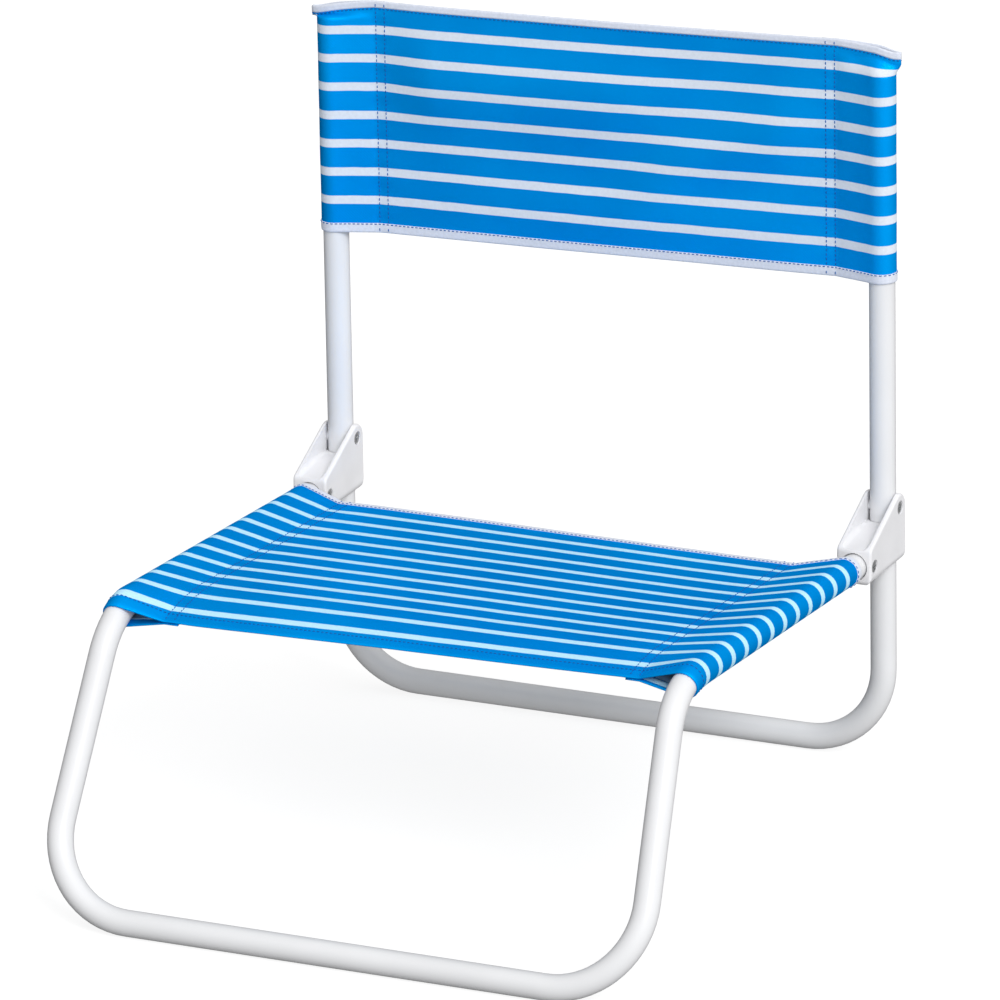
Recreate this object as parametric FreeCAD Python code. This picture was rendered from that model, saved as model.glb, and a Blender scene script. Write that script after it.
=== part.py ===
"""Low folding camp chair: a bent-tube seat frame and a bent-tube back frame,
hinged in two moulded brackets, with a striped cloth sling on each frame.

Millimetres. The chair faces -Y, +Z is up, and +X is to the right seen from the
front, as left and right are in the names of the pieces. The origin
lies on the floor under the middle of the opened chair.
"""
import FreeCAD, Part
import math
import os

V = FreeCAD.Vector

# Tubes
TUBE_R = 9.5              # outside radius of both frame tubes
TUBE_WALL = 1.0
FRAME_HALF = 217.0        # centre plane to post axis, and to seat-rail axis

# Back frame: one U tube, posts above the pivot and rear legs below it
REAR_Y = 222.7            # axis of the rear floor rail
POST_LEAN = 3.0           # degrees, top towards the rear
POST_LENGTH = 505.0       # floor-rail axis to the cut top of the tube
REAR_BEND_R = 60.0

# Seat frame: one tube, seat rails, front legs and front floor rail
FRONT_Y = -251.9          # axis of the front floor rail
FRONT_HALF = 229.0        # the front legs splay out to this on the floor
KNEE_Y = -142.2           # where rail axis and leg axis would cross
KNEE_Z = 197.2
RAIL_TILT = 5.4           # degrees, seat lower at the rear
FLOOR_BEND_R = 64.0
KNEE_BEND_R = 50.0
RAIL_LENGTH = 355.0       # knee corner to the rail's end inside the bracket

# Hinge brackets
PIVOT_UP = 184.5          # pivot, measured up the post from the floor-rail axis
BRACKET_HALF = 13.5       # half width over both cheeks
CHEEK_INNER = 10.3        # half gap between the cheeks
BRACKET_FRONT = 319.0     # front face, measured from the knee along the rail
RAIL_SCREW = 326.5        # fixing screw, measured from the knee along the rail
EAR_R = 10.5              # round top of the cheek, about the pivot
CHEEK_DROP = 42.0         # rear bottom corner, below the pivot along the post
SADDLE_R = 9.8            # seat for the post in front of it
WEB_FRONT = 12.8          # web top over the rail axis, at the front face
WEB_REAR = 21.2           # and at the saddle
RECESS_R = 5.2            # recess round each screw head
RECESS_DEPTH = 1.8
RIM_R = 2.0               # rounding of the cheeks' rims
WEB_FILLET = 4.0          # rounding between the web and the cheeks

# Fasteners and pivot bushes
HEAD_R = 4.6
HEAD_T = 1.2
BARREL_R = 3.0
HOLE_R = 3.05
SHANK_R = 1.95
BUSH_R = 4.0

# Cloth
CLOTH_T = 1.1             # doubled cloth and its stitching
SLEEVE_IN = 9.7           # inside radius of the sleeve round a tube
SEAM_HALF = 178.0         # centre plane to the middle of the seam
BACK_LOW = 350.5          # back sling, measured up the post
BACK_HIGH = 526.5
SEAT_REAR = 309.0         # seat sling, measured from the knee along the rail
SEAT_FRONT_TURN = 30.0    # degrees that the front of the sleeve follows the knee
BINDING_T = 0.5
BINDING_W = 6.5

# Axes of the two frames, as unit vectors in the YZ plane
lean = math.radians(POST_LEAN)
tilt = math.radians(RAIL_TILT)
post_up = V(0, math.sin(lean), math.cos(lean))
post_back = V(0, math.cos(lean), -math.sin(lean))
rail_back = V(0, math.cos(tilt), -math.sin(tilt))
rail_up = V(0, math.sin(tilt), math.cos(tilt))
rear_foot = V(0, REAR_Y, TUBE_R)
knee = V(0, KNEE_Y, KNEE_Z)
pivot = rear_foot + post_up * PIVOT_UP
rail_screw = knee + rail_back * RAIL_SCREW
across = V(1, 0, 0)


def side(point, x):
    """The same point of the YZ plane, moved out to x."""
    return V(x, point.y, point.z)


def corner_arc(before, corner, after, radius):
    """Start, middle and end of the arc that rounds a corner of a path."""
    back = (before - corner).normalize()
    ahead = (after - corner).normalize()
    half = back.getAngle(ahead) / 2
    bisector = (back + ahead).normalize()
    centre = corner + bisector * (radius / math.sin(half))
    reach = radius / math.tan(half)
    return corner + back * reach, centre - bisector * radius, corner + ahead * reach


def rounded_wire(points, radii, closed=False):
    """Straight runs through the points, each inner corner rounded."""
    count = len(points)
    corners = range(count) if closed else range(1, count - 1)
    arcs = {i: corner_arc(points[i - 1], points[i], points[(i + 1) % count], radii[i])
            for i in corners}
    edges = []
    for i in range(count if closed else count - 1):
        j = (i + 1) % count
        start = arcs[i][2] if i in arcs else points[i]
        end = arcs[j][0] if j in arcs else points[j]
        edges.append(Part.LineSegment(start, end).toShape())
        if j in arcs:
            edges.append(Part.Arc(*arcs[j]).toShape())
    return Part.Wire(edges)


def swept(path, radius, start, direction):
    """A round bar along a path."""
    section = Part.Wire([Part.makeCircle(radius, start, direction)])
    return path.makePipeShell([section], True, False)


def bent_tube(points, radii):
    path = rounded_wire(points, radii)
    direction = points[1] - points[0]
    outer = swept(path, TUBE_R, points[0], direction)
    inner = swept(path, TUBE_R - TUBE_WALL, points[0], direction)
    return outer.cut(inner)


def rod(point, x_from, x_to, radius):
    """A cylinder across the chair through a point of the YZ plane."""
    return Part.makeCylinder(radius, x_to - x_from, side(point, x_from), across)


def prism(wire, x_from, x_to):
    """A closed wire of the YZ plane, extruded across the chair."""
    face = Part.Face(wire)
    face.translate(V(x_from, 0, 0))
    return face.extrude(V(x_to - x_from, 0, 0))


# ---------------------------------------------------------------- tubes
def make_seat_frame():
    rail_end = knee + rail_back * RAIL_LENGTH
    floor = V(0, FRONT_Y, TUBE_R)
    points = [side(rail_end, -FRAME_HALF), side(knee, -FRAME_HALF), side(floor, -FRONT_HALF),
              side(floor, FRONT_HALF), side(knee, FRAME_HALF), side(rail_end, FRAME_HALF)]
    radii = [0, KNEE_BEND_R, FLOOR_BEND_R, FLOOR_BEND_R, KNEE_BEND_R, 0]
    hole = rod(rail_screw, -FRAME_HALF - 20, FRAME_HALF + 20, HOLE_R)
    return bent_tube(points, radii).cut(hole)


def make_back_frame():
    top = rear_foot + post_up * POST_LENGTH
    points = [side(top, -FRAME_HALF), side(rear_foot, -FRAME_HALF),
              side(rear_foot, FRAME_HALF), side(top, FRAME_HALF)]
    radii = [0, REAR_BEND_R, REAR_BEND_R, 0]
    hole = rod(pivot, -FRAME_HALF - 20, FRAME_HALF + 20, BUSH_R + 0.02)
    return bent_tube(points, radii).cut(hole)


def make_post_cap():
    """Plug for the top of a post, on the centre plane."""
    top = rear_foot + post_up * POST_LENGTH
    disc = Part.makeCylinder(TUBE_R, 2.0, top, post_up)
    rim = [edge for edge in disc.Edges if (edge.CenterOfMass - top).dot(post_up) > 1.9]
    disc = disc.makeFillet(1.0, rim)
    stem = Part.makeCylinder(TUBE_R - TUBE_WALL - 0.1, 12.0, top - post_up * 12, post_up)
    return disc.fuse(stem).removeSplitter()


# ---------------------------------------------------------------- brackets
def bracket_outline():
    """Side view of a bracket: front face, sloping ear, round top, rear and bottom."""
    front = knee + rail_back * BRACKET_FRONT
    front_low = front - rail_up * 13.6
    front_high = front + rail_up * 13.6
    rear_low = pivot + post_back * EAR_R - post_up * CHEEK_DROP
    # The slope leaves the front face's top and touches the round top of the ear.
    reach = pivot - front_high
    rise = math.atan2(reach.z, reach.y) + math.asin(EAR_R / reach.Length)
    slope = V(0, math.cos(rise), math.sin(rise))
    rear = pivot + post_back * EAR_R
    gap = rear - front_high
    run = (gap.y * post_up.z - gap.z * post_up.y) / (slope.y * post_up.z - slope.z * post_up.y)
    ear_corner = front_high + slope * run
    return rounded_wire([front_low, front_high, ear_corner, rear_low], [4, 5, EAR_R, 9], True)


def make_bracket():
    """One bracket on the centre plane. Both sides of the chair use the same moulding."""
    body = prism(bracket_outline(), -BRACKET_HALF, BRACKET_HALF)
    rims = [edge for edge in body.Edges if abs(abs(edge.CenterOfMass.x) - BRACKET_HALF) < 0.01]
    body = body.makeFillet(RIM_R, rims)

    # Rounded belly along the bottom edge
    front_low = knee + rail_back * BRACKET_FRONT - rail_up * 13.6
    rear_low = pivot + post_back * EAR_R - post_up * CHEEK_DROP
    along = (rear_low - front_low).normalize()
    upward = V(0, -along.z, along.y)
    start = front_low - along * 10
    section = [V(-BRACKET_HALF, 0, 0) + start, V(BRACKET_HALF, 0, 0) + start,
               V(BRACKET_HALF, 0, 0) + start + upward * 70,
               V(-BRACKET_HALF, 0, 0) + start + upward * 70]
    belly = Part.Face(rounded_wire(section, [7, 7, 1, 1], True)).extrude(along * 95)
    body = body.common(belly)

    # Slot for the post, open behind, with a round saddle in front
    low = pivot - post_up * 60
    saddle = Part.makeCylinder(SADDLE_R, 120, low, post_up)
    slot = [low - post_back * 5, low + post_back * 25,
            low + post_back * 25 + post_up * 120, low - post_back * 5 + post_up * 120]
    slot = prism(Part.makePolygon(slot + slot[:1]), -CHEEK_INNER, CHEEK_INNER)

    # Open trough above the web, between the ears
    front = knee + rail_back * (BRACKET_FRONT - 5) + rail_up * (WEB_FRONT - 1)
    rear = knee + rail_back * (BRACKET_FRONT + 45) + rail_up * WEB_REAR
    behind = rear + rail_back * 25
    trough = [front, rear, behind, behind + rail_up * 40, front + rail_up * 40]
    trough = prism(Part.makePolygon(trough + trough[:1]), -CHEEK_INNER, CHEEK_INNER)
    feet = [edge for edge in trough.Edges
            if abs(edge.CenterOfMass.x) > CHEEK_INNER - 0.01
            and (edge.CenterOfMass - side((front + rear) / 2, edge.CenterOfMass.x)).Length < 0.1]
    trough = trough.makeFillet(WEB_FILLET, feet)

    # Socket for the rail, with a wider mouth
    mouth = knee + rail_back * (BRACKET_FRONT - 1)
    socket = Part.makeCylinder(TUBE_R + 0.05, RAIL_LENGTH + 1.5 - BRACKET_FRONT, mouth, rail_back)
    lead_in = Part.makeCylinder(TUBE_R + 0.9, 4.0, mouth, rail_back)

    cuts = [slot, trough, socket, lead_in]
    for point in (pivot, rail_screw):
        cuts.append(rod(point, -20, 20, HOLE_R))
        cuts.append(rod(point, BRACKET_HALF - RECESS_DEPTH, 20, RECESS_R))
        cuts.append(rod(point, -20, RECESS_DEPTH - BRACKET_HALF, RECESS_R))
    return body.cut(saddle).cut(cuts)


# ---------------------------------------------------------------- fasteners
def cross_recess(point, x_face, inward):
    """Cross slot sunk into a screw head."""
    arms = []
    for dy, dz in ((5.2, 1.1), (1.1, 5.2)):
        low = V(min(x_face, x_face + inward), point.y - dy / 2, point.z - dz / 2)
        arms.append(Part.makeBox(abs(inward), dy, dz, low))
    return arms[0].fuse(arms[1])


def domed_head(point, x_seat, outward):
    """Flat-bottomed head with a rounded rim, seated at x_seat."""
    x_face = x_seat + outward * HEAD_T
    head = rod(point, min(x_seat, x_face), max(x_seat, x_face), HEAD_R)
    rim = [edge for edge in head.Edges
           if abs(edge.CenterOfMass.x - x_face) < 0.01 and edge.Curve.TypeId == "Part::GeomCircle"]
    return head.makeFillet(0.7, rim)


def make_screw(point, outward):
    """Screw whose head sits in the bracket's outer recess."""
    seat = outward * (BRACKET_HALF - RECESS_DEPTH)
    tip = -outward * 4.0
    head = domed_head(point, seat, outward)
    shank = rod(point, min(seat, tip), max(seat, tip), SHANK_R)
    recess = cross_recess(point, seat + outward * HEAD_T, -outward * 1.0)
    return head.fuse(shank).cut(recess).removeSplitter()


def make_sleeve_nut(point, outward):
    """Barrel nut whose head sits in the bracket's inner recess."""
    seat = -outward * (BRACKET_HALF - RECESS_DEPTH)
    tip = outward * 11.2
    head = domed_head(point, seat, -outward)
    barrel = rod(point, min(seat, tip), max(seat, tip), BARREL_R)
    thread = rod(point, min(-outward * 8, tip), max(-outward * 8, tip), SHANK_R + 0.05)
    recess = cross_recess(point, seat - outward * HEAD_T, outward * 1.0)
    return head.fuse(barrel).cut(thread).cut(recess).removeSplitter()


def make_bush():
    """Nylon tube pressed through the post, turning on the pivot's barrel nut."""
    length = CHEEK_INNER - 0.2
    return rod(pivot, -length, length, BUSH_R).cut(rod(pivot, -20, 20, HOLE_R))


# ---------------------------------------------------------------- cloth
def touch_point(radius, seam, half_t):
    """Where a cloth layer from (seam, half_t) first touches its sleeve's circle."""
    run = FRAME_HALF - seam
    distance = math.hypot(run, half_t)
    angle = math.pi - math.atan2(half_t, run) - math.acos(radius / distance)
    return V(FRAME_HALF + radius * math.cos(angle), radius * math.sin(angle), 0)


def sleeve_outline(radius, seam, half_t):
    """Drop shape round the tube at +FRAME_HALF, narrowing to its seam. Local XY plane."""
    up = touch_point(radius, seam, half_t)
    low = V(up.x, -up.y, 0)
    edges = [Part.LineSegment(V(seam, half_t, 0), up).toShape(),
             Part.Arc(up, V(FRAME_HALF + radius, 0, 0), low).toShape(),
             Part.LineSegment(low, V(seam, -half_t, 0)).toShape()]
    return edges


def mirrored(shape):
    return shape.mirror(V(0, 0, 0), across)


def sling_section(grow):
    """Panel and both filled sleeves, thickened all round by grow. Local XY plane."""
    half_t = CLOTH_T / 2 + grow
    sleeve = sleeve_outline(SLEEVE_IN + CLOTH_T + grow, SEAM_HALF, half_t)
    upper = Part.LineSegment(V(-SEAM_HALF, half_t, 0), V(SEAM_HALF, half_t, 0)).toShape()
    lower = Part.LineSegment(V(SEAM_HALF, -half_t, 0), V(-SEAM_HALF, -half_t, 0)).toShape()
    far_sleeve = [mirrored(edge) for edge in reversed(sleeve)]
    return Part.Face(Part.Wire([upper] + sleeve + [lower] + far_sleeve))


def sleeve_hollows():
    """The room for the tubes, inside both sleeves."""
    seam = SEAM_HALF + 4
    edges = sleeve_outline(SLEEVE_IN, seam, 0.15)
    edges.append(Part.LineSegment(V(seam, -0.15, 0), V(seam, 0.15, 0)).toShape())
    hollow = Part.Face(Part.Wire(edges))
    return Part.makeCompound([hollow, mirrored(hollow)])


def on_post(shape):
    """Local Z up the post, from the rear floor rail."""
    shape.Placement = FreeCAD.Placement(rear_foot, FreeCAD.Rotation(across, -POST_LEAN))
    return shape


def on_rail(shape):
    """Local Z back along the seat rail, from the knee corner, with local Y down."""
    shape.Placement = FreeCAD.Placement(knee, FreeCAD.Rotation(across, -90 - RAIL_TILT))
    return shape


def slab(section, low, high):
    piece = section.copy()
    piece.translate(V(0, 0, low))
    return piece.extrude(V(0, 0, high - low))


def make_back_sling():
    """Panel with a sleeve at each side, open below and closed above the post."""
    closed_top = 3.0
    cloth = slab(sling_section(0), BACK_LOW, BACK_HIGH)
    room = slab(sleeve_hollows(), BACK_LOW - 1, BACK_HIGH - closed_top)
    return on_post(cloth.cut(room))


def make_back_binding(top):
    """White tape folded over the back sling's top or bottom edge."""
    if top:
        tape = slab(sling_section(BINDING_T), BACK_HIGH - BINDING_W, BACK_HIGH + BINDING_T)
        return on_post(tape.cut(slab(sling_section(0), BACK_LOW, BACK_HIGH)))
    tape = slab(sling_section(BINDING_T), BACK_LOW - BINDING_T, BACK_LOW + BINDING_W)
    tape = tape.cut(slab(sling_section(0), BACK_LOW, BACK_HIGH))
    return on_post(tape.cut(slab(sleeve_hollows(), BACK_LOW - 2, BACK_LOW + 2)))


def knee_start():
    """Where the rail's straight run ends, measured from the knee corner."""
    start = corner_arc(side(rail_screw, FRAME_HALF), side(knee, FRAME_HALF),
                       V(FRONT_HALF, FRONT_Y, TUBE_R), KNEE_BEND_R)[0]
    return (start - side(knee, FRAME_HALF)).Length


def make_seat_sling(seat_tube_bar):
    """Panel with open-ended sleeves, its front edge drawn down over the knee bends."""
    start = knee_start()
    section = sling_section(0).cut(sleeve_hollows())
    straight = slab(section, start, SEAT_REAR)
    section.translate(V(0, 0, start))
    drooped = section.revolve(V(0, KNEE_BEND_R, start), across, SEAT_FRONT_TURN)
    cloth = on_rail(straight.fuse(drooped).removeSplitter())
    return cloth.cut(seat_tube_bar)


def make_seat_binding():
    """White tape folded over the seat sling's rear edge."""
    tape = slab(sling_section(BINDING_T), SEAT_REAR - BINDING_W, SEAT_REAR + BINDING_T)
    tape = tape.cut(slab(sling_section(0), SEAT_REAR - 20, SEAT_REAR))
    return on_rail(tape.cut(slab(sleeve_hollows(), SEAT_REAR - 2, SEAT_REAR + 2)))


def knee_bars():
    """Solid bars a hair thicker than the tube, where the sleeves go over the knees."""
    bars = []
    for sign in (-1, 1):
        points = [side(rail_screw, sign * FRAME_HALF), side(knee, sign * FRAME_HALF),
                  V(sign * FRONT_HALF, FRONT_Y, TUBE_R)]
        path = rounded_wire(points, [0, KNEE_BEND_R, 0])
        bars.append(swept(path, TUBE_R + 0.1, points[0], points[1] - points[0]))
    return bars


# ---------------------------------------------------------------- nodes
nodes = {
    "seat_frame_tube": make_seat_frame(),
    "back_frame_tube": make_back_frame(),
    "seat_sling": make_seat_sling(knee_bars()),
    "seat_rear_binding": make_seat_binding(),
    "back_sling": make_back_sling(),
    "back_top_binding": make_back_binding(True),
    "back_bottom_binding": make_back_binding(False),
}
for name, outward in (("left", -1), ("right", 1)):
    pieces = {
        "hinge_bracket": make_bracket(),
        "post_cap": make_post_cap(),
        "pivot_bush": make_bush(),
        "pivot_screw": make_screw(pivot, outward),
        "pivot_sleeve_nut": make_sleeve_nut(pivot, outward),
        "rail_screw": make_screw(rail_screw, outward),
        "rail_sleeve_nut": make_sleeve_nut(rail_screw, outward),
    }
    for piece, shape in pieces.items():
        shape.translate(V(outward * FRAME_HALF, 0, 0))
        nodes[piece + "_" + name] = shape

os.makedirs("parts", exist_ok=True)
for name, shape in nodes.items():
    shape.exportStep("parts/" + name + ".step")
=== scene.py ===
"""Looks of a low folding camp chair: white tube frames, moulded hinge brackets
and two striped cloth slings with taped edges and sewn sleeves."""
import math

import bpy
from mathutils import Matrix, Vector, noise


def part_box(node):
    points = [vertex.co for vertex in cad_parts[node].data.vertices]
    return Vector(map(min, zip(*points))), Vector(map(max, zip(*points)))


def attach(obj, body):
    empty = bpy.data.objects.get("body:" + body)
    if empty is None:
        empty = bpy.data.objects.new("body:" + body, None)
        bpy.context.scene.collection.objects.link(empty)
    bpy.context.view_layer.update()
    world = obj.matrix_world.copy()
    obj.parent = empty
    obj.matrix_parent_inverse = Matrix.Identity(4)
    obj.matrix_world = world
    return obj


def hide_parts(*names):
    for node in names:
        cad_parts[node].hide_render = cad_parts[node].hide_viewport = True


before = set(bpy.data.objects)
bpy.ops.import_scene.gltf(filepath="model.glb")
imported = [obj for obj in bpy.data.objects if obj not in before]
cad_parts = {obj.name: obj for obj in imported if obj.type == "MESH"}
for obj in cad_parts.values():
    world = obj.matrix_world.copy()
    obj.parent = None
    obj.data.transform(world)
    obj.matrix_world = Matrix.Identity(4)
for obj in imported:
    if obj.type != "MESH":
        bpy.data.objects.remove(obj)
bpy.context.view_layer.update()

# Cloth, metres
CLOTH = 0.0006            # thickness of one layer
LAYER_GAP = 0.0008        # between the middles of two layers sewn together
TAPE_GAP = 0.0013         # more than that, where tape is folded round each of them
HEM_GAP = 0.0026          # and where the hem is turned under
SLEEVE_R = 0.01035        # middle of the cloth, from the tube's axis
FLAP = 0.0105             # turned-back end behind the seam
STITCH_LINES = (0.0005, 0.0075)   # inwards from where the sleeve opens
SEAM_INSET = 0.0355       # from the tube's axis in to where the sleeve opens
TAPE_W = 0.0065
TAPE_T = 0.0004
HEM = 0.0095              # turned-under front edge of the seat
CELL = 0.0026             # mesh size of the cloth

# Bend of the seat frame's knee, which the seat sling's front follows
RAIL_TILT = math.radians(5.4)
KNEE_R = 0.050
KNEE_START = 0.2946       # ahead of the rail screw, along the rail

# Stripes: (middle of the first from the lower or rear edge, pitch)
STRIPE_W = 0.0064
BACK_STRIPES = (0.0244, 0.02175)
SEAT_STRIPES = (0.0236, 0.0224)


# ------------------------------------------------------------ places, from the frame
def centre(node):
    """Middle of a CAD node's box."""
    low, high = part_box(node)
    return (Vector(low) + Vector(high)) / 2


def in_side_plane(point):
    """The point moved sideways into the chair's middle plane."""
    return Vector((0, point.y, point.z))


def span(node, origin, direction):
    """How far a CAD node reaches along a direction, lowest and highest."""
    reach = [(vertex.co - origin).dot(direction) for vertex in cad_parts[node].data.vertices]
    return min(reach), max(reach)


across = Vector((1, 0, 0))
half = centre("post_cap_right").x
seam = half - SEAM_INSET
pivot = in_side_plane(centre("pivot_bush_right"))
screw = in_side_plane(centre("rail_screw_right"))
post_up = (in_side_plane(centre("back_sling")) - pivot).normalized()
post_front = post_up.cross(across) * -1
if post_front.y > 0:
    post_front.negate()
rail_ahead = Vector((0, -math.cos(RAIL_TILT), math.sin(RAIL_TILT)))
rail_up = Vector((0, math.sin(RAIL_TILT), math.cos(RAIL_TILT)))
back_low, back_high = span("back_sling", pivot, post_up)


def smooth(t):
    """0 to 1 with level ends, and flat outside."""
    t = min(max(t, 0.0), 1.0)
    return t * t * (3 - 2 * t)


def mix(a, b, t):
    return a + (b - a) * t


# ------------------------------------------------------------ meshes
def make_object(name, verts, faces, material, body, uvs=None):
    """A smooth-shaded mesh that rides on a body, with the cut cloth's own places as UVs."""
    mesh = bpy.data.meshes.new(name)
    mesh.from_pydata([tuple(v) for v in verts], [], faces)
    if uvs is not None:
        layer = mesh.uv_layers.new(name="cloth")
        for loop in mesh.loops:
            layer.data[loop.index].uv = uvs[loop.vertex_index]
    mesh.polygons.foreach_set("use_smooth", [True] * len(mesh.polygons))
    mesh.update()
    mesh.materials.append(material)
    piece = bpy.data.objects.new(name, mesh)
    bpy.context.scene.collection.objects.link(piece)
    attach(piece, body)
    return piece


def grid_faces(rows, columns):
    """Quads between the points of a grid laid out row by row."""
    faces = []
    for i in range(rows - 1):
        for j in range(columns - 1):
            k = i * columns + j
            faces.append((k, k + 1, k + columns + 1, k + columns))
    return faces


def thicken(piece, thickness):
    """Give a sheet its thickness, with the last material on its reverse."""
    shell = piece.modifiers.new("thickness", "SOLIDIFY")
    shell.thickness = thickness
    shell.offset = 0
    shell.material_offset = len(piece.data.materials) - 1


# ------------------------------------------------------------ shape of a sleeve
class Sleeve:
    """Cloth loop round a tube, seen along the tube: x outwards, n to the cloth's face.

    It leaves the seam at height rise over the tube's axis, passes over the tube,
    round its outer side and back under it to the seam. flat runs from 0, drawn
    round the tube, to 1, pressed flat past the tube's end. dip is how far the cloth
    sinks in between the seam and the tube.
    """

    def __init__(self, rise, radius, gap, flat=0.0, dip=0.0):
        self.rise, self.radius, self.gap, self.flat = rise, radius, gap, flat
        self.dip = dip
        self.over = self.touch(rise, 1)
        self.under = self.touch(rise - gap, -1)
        self.first = (self.touch_point(self.over) - Vector((seam, rise))).length
        self.arc = radius * (self.over - self.under)
        self.last = (self.touch_point(self.under) - Vector((seam, rise - gap))).length
        self.length = self.first + self.arc + self.last

    def touch(self, rise, sign):
        """Angle where cloth from the seam meets the tube, above (1) or below (-1)."""
        away = Vector((seam - half, rise))
        angle = math.acos(self.radius / away.length)
        if sign > 0:
            return math.atan2(away.y, away.x) % (2 * math.pi) - angle
        return math.atan2(away.y, away.x) % (2 * math.pi) + angle - 2 * math.pi

    def touch_point(self, angle):
        """Place on the tube at an angle."""
        return Vector((half + self.radius * math.cos(angle), self.radius * math.sin(angle)))

    def at(self, share):
        """Place on the loop, share 0 to 1 from the upper seam to the lower."""
        d = share * self.length
        if d < self.first:
            spot = Vector((seam, self.rise)).lerp(self.touch_point(self.over), d / self.first)
            spot.y -= self.dip * math.sin(math.pi * d / self.first) * (d / self.first)
        elif d < self.first + self.arc:
            spot = self.touch_point(self.over - (d - self.first) / self.radius)
        else:
            start = self.touch_point(self.under)
            spot = start.lerp(Vector((seam, self.rise - self.gap)),
                              (d - self.first - self.arc) / self.last)
        if self.flat > 0:
            reach = min(share, 1 - share) * self.length
            turn = smooth((share - 0.485) / 0.03)
            pressed = Vector((seam + reach, self.rise - self.gap * turn))
            spot = spot.lerp(pressed, self.flat)
        return spot


loop_length = Sleeve(0, SLEEVE_R, LAYER_GAP).length
cloth_half = seam + loop_length + FLAP     # half the width that the cloth was cut to


def edge_gap(v):
    """Layers stand further apart where tape is folded round each of them."""
    return LAYER_GAP + TAPE_GAP * smooth(1 - (v - TAPE_W) / 0.004)


def pucker(u, v, scale):
    """Small creases where sewing draws the cloth in, beside a seam."""
    away = abs(abs(u) - seam + 0.004)
    wave = math.sin(v * 2 * math.pi / 0.0125 + 2.5 * noise.noise((u * 9, v * 40, 3)))
    return scale * wave * math.exp(-(away / 0.009) ** 2)


# ------------------------------------------------------------ back sling
BACK_SKEW = (0.0039, 0.0043)   # each seam's shift up or down, at the lower and upper edge
BACK_PRINT_SKEW = 0.0012       # the stripes run this much out of square with the cut
BACK_TRIM = 0.0012             # the top edge is cut this much below the CAD cloth's
BACK_SAG = 0.0009              # the top edge hangs this much lower between the seams
POCKET_DROP = {-1: 0.0045, 1: 0.0030}   # each closed pocket's corner, below the top edge
CORNER_DROP = {-1: 0.0025, 1: 0.0032}   # and its outermost part, below that
POCKET_CLOSED = {-1: 0.74, 1: 0.84}     # closed this share of the way from post top to tape
SLEEVE_DIP = 0.0008            # the cloth sinks this much between the seam and the post
POCKET_PRESS = 0.75            # how nearly the pocket's corner is pressed flat
TOP_TAPE_W = 0.0042
TOP_ROWS = 0.026               # mesh rows stand twice as close over this much at the top
back_length = back_high - back_low - BACK_TRIM
cap_top = span("post_cap_right", pivot, post_up)[1]


def back_height(x, v):
    """Height up the post; the sling sits a little lower at the left post."""
    share = v / back_length
    sag = BACK_SAG * share ** 5 * (1 - min(1.0, abs(x) / seam) ** 2)
    return back_low + v + mix(*BACK_SKEW, share) * x / seam - sag


def pocket_share(x, v):
    """0 up to the post's top, rising to 1 part of the way to the top tape."""
    v_cap = v + cap_top - back_height(x, v)
    share = (v - v_cap) / (back_length - TOP_TAPE_W - v_cap)
    return min(1.0, max(0.0, share / POCKET_CLOSED[1 if x > 0 else -1]))


def back_print(u, v, offset):
    """Where the woven stripes have this place of the cut cloth."""
    return v - BACK_PRINT_SKEW * v / back_length * u / seam


def fold(across_it, width, height):
    """A soft ridge in taut cloth, seen at a distance across it."""
    return height * math.exp(-(across_it / width) ** 2 / 2)


def back_relief(u, v):
    """The cloth bulges in a long fold high on the left, one that climbs on the right and
    one along the lower edge."""
    high = fold(v - 0.118, 0.025, 0.0062) * smooth((0.11 - u) / 0.12)
    climbing = fold(v - 0.045 - 0.4 * u, 0.017, 0.0042) * smooth((u + 0.01) / 0.08)
    low = fold(v - 0.028, 0.015, 0.0026) * fold(u - 0.01, 0.09, 1)
    wide = high + climbing + low + noise.noise((u * 5, v * 9, 1.7)) * 0.0012
    fine = noise.noise((u * 17, v * 30, 5.1)) * 0.00030
    inside = smooth((seam - abs(u)) / 0.05)
    return (wide + fine) * inside + pucker(u, v, 0.00022)


def back_point(u, v):
    """A point of the back sling's cloth: u across from the middle, v up from the lower edge."""
    side = 1 if u >= 0 else -1
    a = abs(u)
    if a <= seam:
        return (pivot + across * u + post_up * back_height(u, v)
                + post_front * back_relief(u, v))
    gap = edge_gap(v)
    closing = pocket_share(side * half, v)
    pressed = POCKET_PRESS * smooth(closing)
    radius = SLEEVE_R + 0.0002 * noise.noise((u * 30, v * 25, 2))
    sleeve = Sleeve(0, radius, gap, pressed, SLEEVE_DIP)
    beyond = a - seam
    if beyond <= loop_length:
        spot = sleeve.at(beyond / loop_length)
    else:
        spot = Vector((seam - (beyond - loop_length), -gap))
    relief = pucker(u, v, 0.00022) if beyond < 0.02 else 0
    outwards = max(0.0, (spot.x - seam) / SEAM_INSET)
    crease = 0.0010 * math.sin(outwards * 7.5 + side) * closing * (1 - closing) * 4 * min(1, outwards)
    drop = POCKET_DROP[side] * closing ** 1.5 * min(1.0, outwards) ** 1.3
    drop += CORNER_DROP[side] * closing * smooth((outwards - 0.9) / 0.45)
    height = back_height(side * spot.x, v) - drop
    return (pivot + across * side * spot.x + post_up * height
            + post_front * (spot.y + relief + crease))


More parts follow.
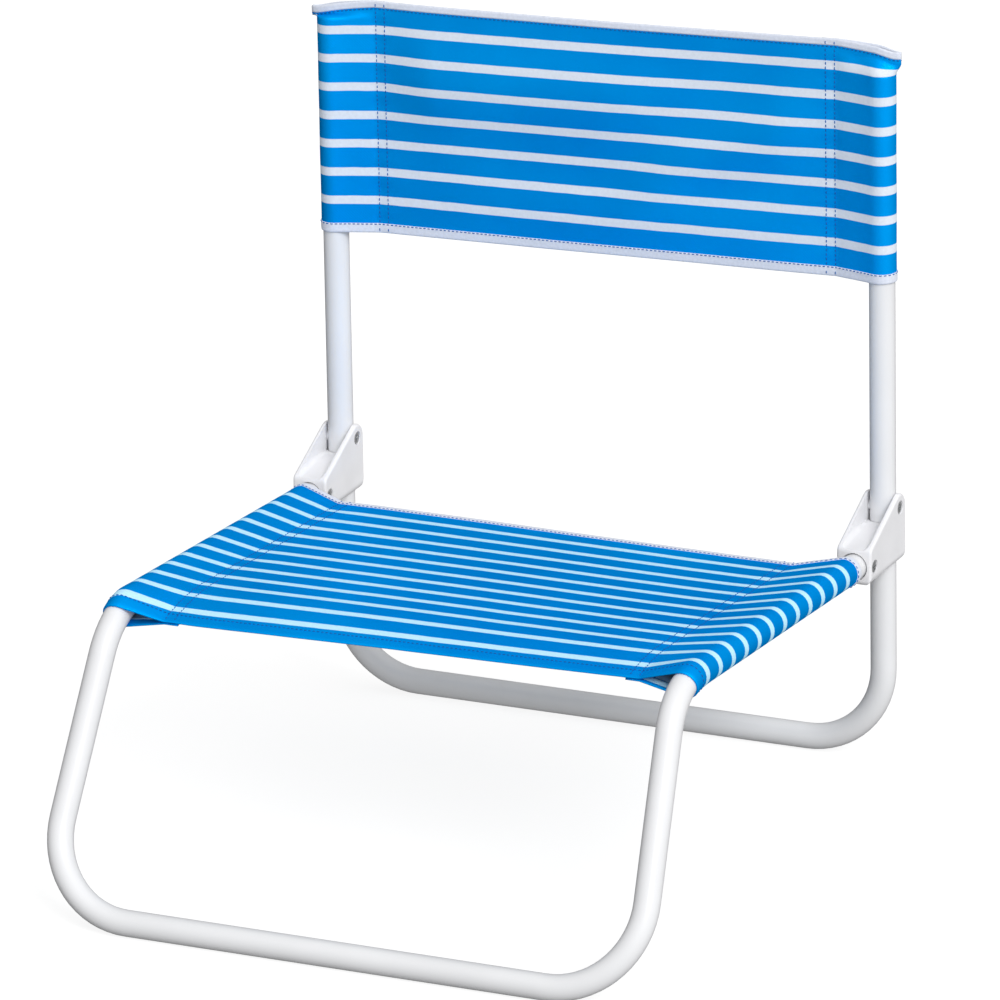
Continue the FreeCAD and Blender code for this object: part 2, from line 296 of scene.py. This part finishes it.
# ------------------------------------------------------------ seat sling
SEAT_PANEL_REAR = 0.0285   # the panel's edges, ahead of the rail screw
SEAT_PANEL_FRONT = 0.3115
SEAT_SLEEVE_REAR = 0.0155
SEAT_SLEEVE_FRONT = 0.3151
SEAT_SLEEVE_SKEW = 0.0045  # the left sleeve's front edge reaches further by twice this
SEAT_RISE = 0.0045         # the taut panel stands this much over the rail axes
SEAT_DROP = 0.0088         # and its front edge is drawn down by this
SEAT_DROP_FROM = 0.057
SEAT_FRONT_SKEW = 0.006    # the front edge reaches further at the left rail
SEAT_REAR_SKEW = 0.0032    # and the rear edge goes further back there
SEAT_PRINT_SKEW = (0.0043, 0.0020)   # the stripes lie this much nearer to the front, left and right
SEAT_SHEAR = 0.0055        # and the left sleeve's are drawn forward by this over the tube
seat_length = 0.2890


def rail_place(ahead):
    """Axis point, forward direction and upward normal of the rail, round the knee."""
    if ahead <= KNEE_START:
        return screw + rail_ahead * ahead, rail_ahead, rail_up
    turn = (ahead - KNEE_START) / KNEE_R
    normal = rail_up * math.cos(turn) + rail_ahead * math.sin(turn)
    forward = rail_ahead * math.cos(turn) - rail_up * math.sin(turn)
    bend = screw + rail_ahead * KNEE_START - rail_up * KNEE_R
    return bend + normal * KNEE_R, forward, normal


def seat_panel(x, v):
    """Distance ahead of the rail screw and height over the rail axes, between the seams."""
    share = v / seat_length
    rear = SEAT_PANEL_REAR + SEAT_REAR_SKEW * x / half
    front = SEAT_PANEL_FRONT - SEAT_FRONT_SKEW * x / half
    ahead = mix(rear, front, share)
    drop = max(0.0, (ahead - SEAT_PANEL_FRONT + SEAT_DROP_FROM) / SEAT_DROP_FROM)
    rise = SEAT_RISE - SEAT_DROP * drop ** 2
    return ahead, rise


def seat_print(u, v, offset):
    """Where the woven stripes have this place of the cut cloth, on into the front hem."""
    along = v if offset > -0.0005 else 2 * seat_length - v
    share = v / seat_length
    skew = share * mix(SEAT_PRINT_SKEW[0], SEAT_PRINT_SKEW[1], (1 + min(max(u / seam, -1), 1)) / 2)
    round_tube = max(0.0, 1 - abs(-u - seam - loop_length / 2) / (loop_length / 2))
    return along - skew - SEAT_SHEAR * round_tube


def seat_relief(u, v):
    """Shallow waves of the taut seat, and creases beside its seams."""
    wide = noise.noise((u * 5, v * 8, 8.3)) * 0.0009
    fine = noise.noise((u * 30, v * 30, 2.2)) * 0.0001
    inside = smooth((seam - abs(u)) / 0.03)
    return (wide + fine) * inside + pucker(u, v, 0.0003)


def seat_point(u, v):
    """A point of the seat sling's cloth: u across from the middle, v ahead from the rear edge."""
    side = 1 if u >= 0 else -1
    a = abs(u)
    if a <= seam:
        ahead, rise = seat_panel(u, v)
        return screw + across * u + rail_ahead * ahead + rail_up * (rise + seat_relief(u, v))
    share = v / seat_length
    sleeve_rear = SEAT_SLEEVE_REAR + SEAT_REAR_SKEW * side
    sleeve_front = SEAT_SLEEVE_FRONT - SEAT_SLEEVE_SKEW * side
    axis, forward, normal = rail_place(mix(sleeve_rear, sleeve_front, share))
    ahead, rise = seat_panel(side * seam, v)
    seam_place = screw + rail_ahead * ahead + rail_up * rise - axis
    gap = edge_gap(v) + HEM_GAP * smooth((v - seat_length + HEM + 0.004) / 0.004)
    loose = 0.0006 * smooth((v - seat_length + 0.03) / 0.02)
    sleeve = Sleeve(seam_place.dot(normal), SLEEVE_R + loose, gap)
    beyond = a - seam
    if beyond <= loop_length:
        spot = sleeve.at(beyond / loop_length)
    else:
        spot = Vector((seam - (beyond - loop_length), sleeve.rise - gap))
    slip = seam_place.dot(forward) * min(1.0, max(0.0, (half - spot.x) / SEAM_INSET))
    relief = pucker(u, v, 0.0003) if beyond < 0.02 else 0
    return axis + across * side * spot.x + normal * (spot.y + relief) + forward * slip


# ------------------------------------------------------------ cloth from its shape
class Cloth:
    """One sling's cut cloth, placed by point(u, v). facing is 1 where u, v and the
    outer side's normal turn like x, y and z, and -1 where they turn the other way."""

    def __init__(self, point, facing, length, body, print_at):
        self.point, self.facing, self.length, self.body = point, facing, length, body
        self.print_at = print_at

    def lifted(self, u, v, offset):
        """The cloth's point, moved off along its outer normal."""
        if offset == 0:
            return self.point(u, v)
        return self.point(u, v) + self.normal(u, v) * offset

    def normal(self, u, v):
        """Outer normal of the cloth."""
        step = 0.0006
        along_u = self.point(u + step, v) - self.point(u - step, v)
        along_v = self.point(u, v + step) - self.point(u, v - step)
        return along_u.cross(along_v).normalized() * self.facing

    def sheet(self, name, rows, limit, materials):
        """A sheet over the cut's width, with rows of (v, offset)."""
        count = 2 * round(limit / CELL) + 1
        us = [mix(-limit, limit, i / (count - 1)) for i in range(count)]
        verts = [self.lifted(u, v, offset) for v, offset in rows for u in us]
        uvs = [(u, self.print_at(u, v, offset)) for v, offset in rows for u in us]
        faces = grid_faces(len(rows), len(us))
        if self.facing < 0:
            faces = [face[::-1] for face in faces]
        piece = make_object(name, verts, faces, materials[0], self.body, uvs)
        for material in materials[1:]:
            piece.data.materials.append(material)
        return piece


def straight_rows(length, closer=0.0):
    """Rows of (v, offset) along the cut. They stand twice as close over the last part."""
    count, extra = round((length - closer) / CELL), round(2 * closer / CELL)
    rows = [((length - closer) * i / count, 0.0) for i in range(count)]
    return rows + [(length - closer * (1 - i / max(1, extra)), 0.0) for i in range(extra + 1)]


def folded_tape(edge, inward, off, width):
    """Rows of (v, offset) that wrap tape over an edge."""
    rows = [(edge + inward * width * t, off) for t in (1, 0.75, 0.5, 0.25, 0.08)]
    round_over = [(-0.0004, 0.75), (-0.0007, 0), (-0.0004, -0.75)]
    rows += [(edge + inward * out, off * share) for out, share in round_over]
    rows += [(v, -offset) for v, offset in reversed(rows[:5])]
    return rows


# ------------------------------------------------------------ materials
def nodes_of(material):
    material.use_nodes = True
    tree = material.node_tree
    shader = next(n for n in tree.nodes if n.type == "BSDF_PRINCIPLED")
    return tree, shader


def add(tree, kind, **settings):
    made = tree.nodes.new(kind)
    for key, value in settings.items():
        if key in made.inputs:
            made.inputs[key].default_value = value
        else:
            setattr(made, key, value)
    return made


def maths(tree, operation, a, b=None, c=None):
    made = tree.nodes.new("ShaderNodeMath")
    made.operation = operation
    for socket, value in zip(made.inputs, (a, b, c)):
        if value is None:
            continue
        if isinstance(value, (int, float)):
            socket.default_value = value
        else:
            tree.links.new(value, socket)
    return made.outputs[0]


def ramp(tree, factor, stops):
    """Colours by factor, each stop (place, colour)."""
    made = tree.nodes.new("ShaderNodeValToRGB")
    elements = made.color_ramp.elements
    while len(elements) < len(stops):
        elements.new(0.5)
    for element, (place, colour) in zip(elements, stops):
        element.position = place
        element.color = (*colour, 1)
    tree.links.new(factor, made.inputs["Fac"])
    return made.outputs["Color"]


def blend_colours(tree, factor, a, b):
    """Colour a turning to b with factor."""
    made = tree.nodes.new("ShaderNodeMix")
    made.data_type = "RGBA"
    for socket, value in ((made.inputs[0], factor), (made.inputs[6], a), (made.inputs[7], b)):
        if isinstance(value, (int, float)):
            socket.default_value = value
        elif isinstance(value, tuple):
            socket.default_value = (*value, 1)
        else:
            tree.links.new(value, socket)
    return made.outputs[2]


def bump(tree, shader, height, strength, distance):
    made = add(tree, "ShaderNodeBump", Strength=strength, Distance=distance)
    tree.links.new(height, made.inputs["Height"])
    tree.links.new(made.outputs["Normal"], shader.inputs["Normal"])


def noise_at(tree, coordinates, scale, detail=3.0):
    made = add(tree, "ShaderNodeTexNoise", Scale=scale, Detail=detail)
    tree.links.new(coordinates, made.inputs["Vector"])
    return made.outputs["Fac"]


def coat_paint(name, colour, roughness, coat):
    """White powder coat: gloss with a faint orange peel and a slightly uneven tone."""
    material = bpy.data.materials.new(name)
    tree, shader = nodes_of(material)
    place = add(tree, "ShaderNodeTexCoord").outputs["Object"]
    tone = noise_at(tree, place, 14.0)
    darker = tuple(c * 0.955 for c in colour)
    tree.links.new(ramp(tree, tone, ((0.3, darker), (0.65, colour))), shader.inputs["Base Color"])
    rough = maths(tree, "MULTIPLY_ADD", noise_at(tree, place, 55.0), 0.12, roughness - 0.06)
    tree.links.new(rough, shader.inputs["Roughness"])
    shader.inputs["Coat Weight"].default_value = coat
    shader.inputs["Coat Roughness"].default_value = 0.12
    shader.inputs["IOR"].default_value = 1.5
    bump(tree, shader, noise_at(tree, place, 900.0, 2.0), 0.12, 0.00012)
    return material


def moulded_nylon(name, colour, roughness):
    """Satin moulded plastic with a fine, matt spark texture."""
    material = bpy.data.materials.new(name)
    tree, shader = nodes_of(material)
    place = add(tree, "ShaderNodeTexCoord").outputs["Object"]
    darker = tuple(c * 0.93 for c in colour)
    tone = noise_at(tree, place, 30.0)
    tree.links.new(ramp(tree, tone, ((0.3, darker), (0.7, colour))), shader.inputs["Base Color"])
    rough = maths(tree, "MULTIPLY_ADD", noise_at(tree, place, 160.0), 0.16, roughness - 0.08)
    tree.links.new(rough, shader.inputs["Roughness"])
    shader.inputs["Subsurface Weight"].default_value = 0.08
    shader.inputs["Subsurface Radius"].default_value = (0.004, 0.004, 0.004)
    shader.inputs["Subsurface Scale"].default_value = 0.3
    bump(tree, shader, noise_at(tree, place, 2400.0, 1.0), 0.2, 0.00008)
    return material


def zinc_steel(name):
    """Bright zinc plate with fine turning marks and cloudy patches."""
    material = bpy.data.materials.new(name)
    tree, shader = nodes_of(material)
    place = add(tree, "ShaderNodeTexCoord").outputs["Object"]
    cloud = noise_at(tree, place, 260.0)
    tree.links.new(ramp(tree, cloud, ((0.3, (0.56, 0.57, 0.58)), (0.7, (0.74, 0.75, 0.76)))),
                   shader.inputs["Base Color"])
    shader.inputs["Metallic"].default_value = 1.0
    tree.links.new(maths(tree, "MULTIPLY_ADD", cloud, 0.16, 0.2), shader.inputs["Roughness"])
    bump(tree, shader, noise_at(tree, place, 3000.0, 1.0), 0.15, 0.00004)
    return material


BLUE = (0.0, 0.370, 0.950)
BLUE_DEEP = (0.0, 0.290, 0.820)
STRIPE = (0.70, 0.76, 0.85)
STRIPE_SEAT = (0.50, 0.80, 0.97)
REVERSE = (0.30, 0.48, 0.66)
TAPE = (0.70, 0.74, 0.84)
THREAD = (0.0, 0.120, 0.430)


def weave_height(tree, u, v, pitch):
    """A plain weave: warp and weft take turns on top."""
    turn = 2 * math.pi / pitch
    warp = maths(tree, "SINE", maths(tree, "MULTIPLY", u, turn))
    weft = maths(tree, "SINE", maths(tree, "MULTIPLY", v, turn))
    half_u = maths(tree, "SINE", maths(tree, "MULTIPLY", u, turn / 2))
    half_v = maths(tree, "SINE", maths(tree, "MULTIPLY", v, turn / 2))
    crossing = maths(tree, "MULTIPLY", half_u, half_v)
    ribs = maths(tree, "ADD", maths(tree, "ABSOLUTE", warp), maths(tree, "ABSOLUTE", weft))
    return maths(tree, "MULTIPLY_ADD", crossing, 0.5, ribs)


def cloth_colours(name, stripes, deep, light, stripe_colour):
    """Woven canvas, striped across: stripes are (first middle, pitch, lowest v, highest v)."""
    first, pitch, low, high = stripes
    material = bpy.data.materials.new(name)
    tree, shader = nodes_of(material)
    split = add(tree, "ShaderNodeSeparateXYZ")
    tree.links.new(add(tree, "ShaderNodeUVMap", uv_map="cloth").outputs["UV"], split.inputs[0])
    u, v = split.outputs["X"], split.outputs["Y"]
    place = add(tree, "ShaderNodeTexCoord").outputs["Object"]

    waver = maths(tree, "MULTIPLY_ADD", noise_at(tree, place, 60.0, 2.0), 0.0006, -0.0003)
    height = maths(tree, "ADD", v, waver)
    place_in_pitch = maths(tree, "PINGPONG", maths(tree, "SUBTRACT", height, first), pitch / 2)
    on_stripe = add(tree, "ShaderNodeMapRange", interpolation_type="SMOOTHSTEP")
    for key, value in (("From Min", STRIPE_W / 2 - 0.00025), ("From Max", STRIPE_W / 2 + 0.00025),
                       ("To Min", 1.0), ("To Max", 0.0)):
        on_stripe.inputs[key].default_value = value
    tree.links.new(place_in_pitch, on_stripe.inputs["Value"])
    inside = maths(tree, "MULTIPLY", maths(tree, "GREATER_THAN", v, low),
                   maths(tree, "LESS_THAN", v, high))
    striped = maths(tree, "MULTIPLY", on_stripe.outputs["Result"], inside)

    slub = noise_at(tree, place, 420.0, 2.0)
    cloudy = noise_at(tree, place, 9.0, 3.0)
    base = ramp(tree, cloudy, ((0.30, deep), (0.70, light)))
    base = blend_colours(tree, maths(tree, "MULTIPLY", slub, 0.22), base, deep)
    white = ramp(tree, slub, ((0.25, tuple(c * 0.93 for c in stripe_colour)), (0.7, stripe_colour)))
    colour = blend_colours(tree, striped, base, white)
    tree.links.new(colour, shader.inputs["Base Color"])

    weave = weave_height(tree, u, v, 0.0011)
    rough = maths(tree, "MULTIPLY_ADD", slub, 0.12, 0.38)
    tree.links.new(rough, shader.inputs["Roughness"])
    lustre = maths(tree, "MULTIPLY_ADD", striped, -0.6, 0.6)
    tree.links.new(lustre, shader.inputs["Metallic"])
    shader.inputs["Specular IOR Level"].default_value = 0.0
    shader.inputs["Specular Tint"].default_value = (0.0, 0.6, 1.0, 1)
    shader.inputs["Sheen Weight"].default_value = 0.04
    shader.inputs["Sheen Roughness"].default_value = 0.4
    shader.inputs["Sheen Tint"].default_value = (0.0, 0.5, 1.0, 1)
    bump(tree, shader, weave, 0.35, 0.00012)
    return material


def tape_colours(name, colour):
    """Woven binding tape, ribbed across its length."""
    material = bpy.data.materials.new(name)
    tree, shader = nodes_of(material)
    split = add(tree, "ShaderNodeSeparateXYZ")
    tree.links.new(add(tree, "ShaderNodeUVMap", uv_map="cloth").outputs["UV"], split.inputs[0])
    place = add(tree, "ShaderNodeTexCoord").outputs["Object"]
    slub = noise_at(tree, place, 500.0, 2.0)
    tone = ramp(tree, slub, ((0.3, tuple(c * 0.9 for c in colour)), (0.7, colour)))
    tree.links.new(tone, shader.inputs["Base Color"])
    ribs = maths(tree, "SINE", maths(tree, "MULTIPLY", split.outputs["X"], 2 * math.pi / 0.0009))
    tree.links.new(maths(tree, "MULTIPLY_ADD", slub, 0.12, 0.72), shader.inputs["Roughness"])
    shader.inputs["Specular IOR Level"].default_value = 0.2
    shader.inputs["Sheen Weight"].default_value = 0.15
    bump(tree, shader, ribs, 0.4, 0.00010)
    return material


def thread_colours(name, colour):
    """Twisted sewing thread."""
    material = bpy.data.materials.new(name)
    tree, shader = nodes_of(material)
    place = add(tree, "ShaderNodeTexCoord").outputs["Object"]
    fleck = noise_at(tree, place, 1500.0, 1.0)
    tone = ramp(tree, fleck, ((0.3, tuple(c * 0.7 for c in colour)), (0.7, colour)))
    tree.links.new(tone, shader.inputs["Base Color"])
    shader.inputs["Roughness"].default_value = 0.6
    shader.inputs["Specular IOR Level"].default_value = 0.25
    bump(tree, shader, fleck, 0.3, 0.00008)
    return material


back_cloth = cloth_colours("striped_canvas_back", (*BACK_STRIPES, 0.012, back_length - 0.010),
                           BLUE_DEEP, BLUE, STRIPE)
seat_cloth = cloth_colours("striped_canvas_seat", (*SEAT_STRIPES, 0.010, seat_length + HEM),
                           BLUE_DEEP, BLUE, STRIPE_SEAT)
reverse_cloth = tape_colours("canvas_reverse", REVERSE)
tape = tape_colours("binding_tape", TAPE)
thread = thread_colours("sewing_thread", THREAD)
frame_paint = coat_paint("frame_powder_coat", (0.735, 0.74, 0.755), 0.36, 0.2)
bracket_nylon = moulded_nylon("bracket_nylon", (0.80, 0.80, 0.82), 0.42)
cap_nylon = moulded_nylon("cap_nylon", (0.78, 0.78, 0.80), 0.5)
steel = zinc_steel("zinc_plate")


# ------------------------------------------------------------ slings
TAPE_OFF = 0.00052         # middle of the tape, from the middle of the cloth
back = Cloth(back_point, 1, back_length, "back_frame", back_print)
seat = Cloth(seat_point, -1, seat_length, "seat_frame", seat_print)


def binding(sling, name, node, edge, inward, width=TAPE_W):
    """White tape folded over one edge of a sling."""
    strip = sling.sheet(name, folded_tape(edge, inward, TAPE_OFF, width), cloth_half, [tape])
    thicken(strip, TAPE_T)
    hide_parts(node)
    return strip


back_sling = back.sheet("back_cloth", straight_rows(back_length, TOP_ROWS), cloth_half,
                        [back_cloth, reverse_cloth])
thicken(back_sling, CLOTH)
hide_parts("back_sling")
back_tapes = [binding(back, "back_top_tape", "back_top_binding", back_length, -1,
                      TOP_TAPE_W),
              binding(back, "back_bottom_tape", "back_bottom_binding", 0.0, 1)]

hem_rows = [(seat_length + 0.0006, -0.0003), (seat_length + 0.0007, -0.0007),
            (seat_length + 0.0002, -0.0010)]
hem_rows += [(seat_length - HEM * share, -0.0010) for share in (0.2, 0.4, 0.6, 0.8, 1.0)]
seat_sling = seat.sheet("seat_cloth", straight_rows(seat_length) + hem_rows, cloth_half,
                        [seat_cloth, reverse_cloth])
thicken(seat_sling, CLOTH)
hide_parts("seat_sling")
seat_tape = binding(seat, "seat_rear_tape", "seat_rear_binding", 0.0, 1)


# ------------------------------------------------------------ stitching
STITCH = 0.0023            # length of one stitch
STITCH_PITCH = 0.0033
THREAD_R = 0.00038
TAPE_STITCH = 0.0007       # stitch line's distance in from the tape's edge
TOP_STITCH = 0.0011        # the top tape's line runs this far below it
SURFACE = CLOTH / 2 + 0.00002
TAPE_SURFACE = TAPE_OFF + TAPE_T / 2 + 0.00002
STITCH_RINGS = ((0.0, 0.15, -0.6), (0.12, 0.85, 0.1), (0.5, 1.0, 0.5), (0.88, 0.85, 0.1),
                (1.0, 0.15, -0.6))
STITCH_SIDES = 6


def add_stitch(start, end, normal, verts, faces):
    """A short rounded stitch that rises from the cloth and goes back in."""
    sideways = (end - start).cross(normal).normalized()
    first = len(verts)
    turns = [2 * math.pi * k / STITCH_SIDES for k in range(STITCH_SIDES)]
    for share, width, lift in STITCH_RINGS:
        middle = start.lerp(end, share) + normal * (THREAD_R * lift)
        for turn in turns:
            ring = sideways * math.cos(turn) + normal * math.sin(turn)
            verts.append(middle + ring * THREAD_R * width)
    for ring in range(len(STITCH_RINGS) - 1):
        for k in range(STITCH_SIDES):
            a = first + ring * STITCH_SIDES + k
            b = first + ring * STITCH_SIDES + (k + 1) % STITCH_SIDES
            faces.append((a, b, b + STITCH_SIDES, a + STITCH_SIDES))
    last = first + (len(STITCH_RINGS) - 1) * STITCH_SIDES
    faces.append(tuple(first + k for k in range(STITCH_SIDES))[::-1])
    faces.append(tuple(last + k for k in range(STITCH_SIDES)))


def sew(name, sling, lines):
    """Stitches along lines of the cloth, each (start, end, offset from the cloth's middle)."""
    verts, faces = [], []
    for start, end, offset in lines:
        start, end = Vector(start), Vector(end)
        along = (end - start).normalized()
        for i in range(int((end - start).length / STITCH_PITCH)):
            here = start + along * (i + 0.2) * STITCH_PITCH
            there = here + along * STITCH
            middle = (here + there) / 2
            normal = sling.normal(*middle) * (1 if offset > 0 else -1)
            add_stitch(sling.lifted(*here, offset), sling.lifted(*there, offset), normal,
                       verts, faces)
    return make_object(name, verts, faces, thread, sling.body)


def seam_lines(sling, low_tape, high_tape):
    """Two rows of stitches along each sleeve's seam, on its upper and its under side.
    They run on over the tapes, of widths low_tape and high_tape."""
    parts = [(0.0, low_tape, TAPE_SURFACE), (low_tape, sling.length - high_tape, SURFACE),
             (sling.length - high_tape, sling.length, TAPE_SURFACE)]
    lines = []
    for side in (-1, 1):
        for inset in STITCH_LINES:
            for u in (side * (seam - inset), side * (seam + loop_length + inset)):
                lines += [((u, low), (u, high), surface) for low, high, surface in parts if high > low]
    return lines


def tape_lines(v, surface=TAPE_SURFACE):
    """Stitches through a binding or beside it, on both faces."""
    return [((-cloth_half, v), (cloth_half, v), side * surface) for side in (-1, 1)]


hem_line = seat_length - HEM + 0.0015
back_stitches = sew("back_stitches", back, seam_lines(back, TAPE_W, TOP_TAPE_W)
                    + tape_lines(TAPE_W - TAPE_STITCH)
                    + tape_lines(back_length - TOP_TAPE_W - TOP_STITCH, SURFACE))
seat_stitches = sew("seat_stitches", seat, seam_lines(seat, TAPE_W, 0.0)
                    + tape_lines(TAPE_W - TAPE_STITCH)
                    + [((-cloth_half, hem_line), (cloth_half, hem_line), SURFACE)])


# ------------------------------------------------------------ materials of the CAD parts
def finish_of(node):
    """The material that a CAD node gets, by its name."""
    if "frame_tube" in node:
        return frame_paint
    if "bracket" in node:
        return bracket_nylon
    if "screw" in node or "nut" in node:
        return steel
    return cap_nylon


for node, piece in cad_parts.items():
    if piece.hide_render:
        continue
    for slot in piece.material_slots:
        slot.material = finish_of(node)


# ------------------------------------------------------------ camera, floor and light
camera = bpy.data.objects.new("camera", bpy.data.cameras.new("camera"))
bpy.context.scene.collection.objects.link(camera)
camera.data.sensor_width = 36
camera.data.lens = 342.0
CAMERA_AT = Vector((2.7199, -5.6525, 2.6809))
CAMERA_TO = Vector((0.029, -0.0146, 0.265))
CAMERA_ROLL = math.radians(-2.35)
aim = (CAMERA_TO - CAMERA_AT).to_track_quat("-Z", "Y")
camera.location = CAMERA_AT
camera.rotation_mode = "QUATERNION"
camera.rotation_quaternion = aim @ Matrix.Rotation(CAMERA_ROLL, 4, "Z").to_quaternion()
camera.data.clip_start, camera.data.clip_end = 0.1, 60
bpy.context.scene.camera = camera


def floor_plane():
    """White studio floor. It is bright by itself, and takes only a faint shadow."""
    size = 30.0
    mesh = bpy.data.meshes.new("floor")
    mesh.from_pydata([(-size, -size, 0), (size, -size, 0), (size, size, 0), (-size, size, 0)],
                     [], [(0, 1, 2, 3)])
    floor = bpy.data.objects.new("floor", mesh)
    bpy.context.scene.collection.objects.link(floor)
    floor.location.z = -0.0002
    floor.visible_diffuse = False
    floor.visible_glossy = False
    material = bpy.data.materials.new("studio_floor")
    tree, shader = nodes_of(material)
    place = add(tree, "ShaderNodeTexCoord").outputs["Object"]
    tone = ramp(tree, noise_at(tree, place, 3.0), ((0.3, (0.21, 0.21, 0.21)), (0.7, (0.23, 0.23, 0.23))))
    tree.links.new(tone, shader.inputs["Base Color"])
    shader.inputs["Roughness"].default_value = 0.9
    shader.inputs["Specular IOR Level"].default_value = 0.0
    shader.inputs["Emission Color"].default_value = (1, 1, 1, 1)
    shader.inputs["Emission Strength"].default_value = 0.85
    mesh.materials.append(material)


def even_light(name, direction, softness, strength):
    """Light of one strength over the whole chair, as from a large lamp far away."""
    data = bpy.data.lights.new(name, "SUN")
    data.angle = softness
    data.energy = strength
    light = bpy.data.objects.new(name, data)
    light.rotation_mode = "QUATERNION"
    light.rotation_quaternion = Vector(direction).to_track_quat("-Z", "Y")
    bpy.context.scene.collection.objects.link(light)


def studio_room(level, brighter):
    """White room, lit a little brighter on the side that the vector brighter points to."""
    world = bpy.data.worlds.new("studio")
    bpy.context.scene.world = world
    world.use_nodes = True
    tree = world.node_tree
    lean = add(tree, "ShaderNodeVectorMath", operation="DOT_PRODUCT")
    tree.links.new(add(tree, "ShaderNodeTexCoord").outputs["Generated"], lean.inputs[0])
    lean.inputs[1].default_value = brighter
    background = tree.nodes["Background"]
    background.inputs["Color"].default_value = (1, 1, 1, 1)
    tree.links.new(maths(tree, "ADD", lean.outputs["Value"], level), background.inputs["Strength"])


floor_plane()
even_light("front_right", (-0.788, 0.616, -0.781), math.radians(25), 1.75)
studio_room(0.50, (0.30, -0.22, 0.34))
bpy.context.scene.view_settings.view_transform = "Standard"
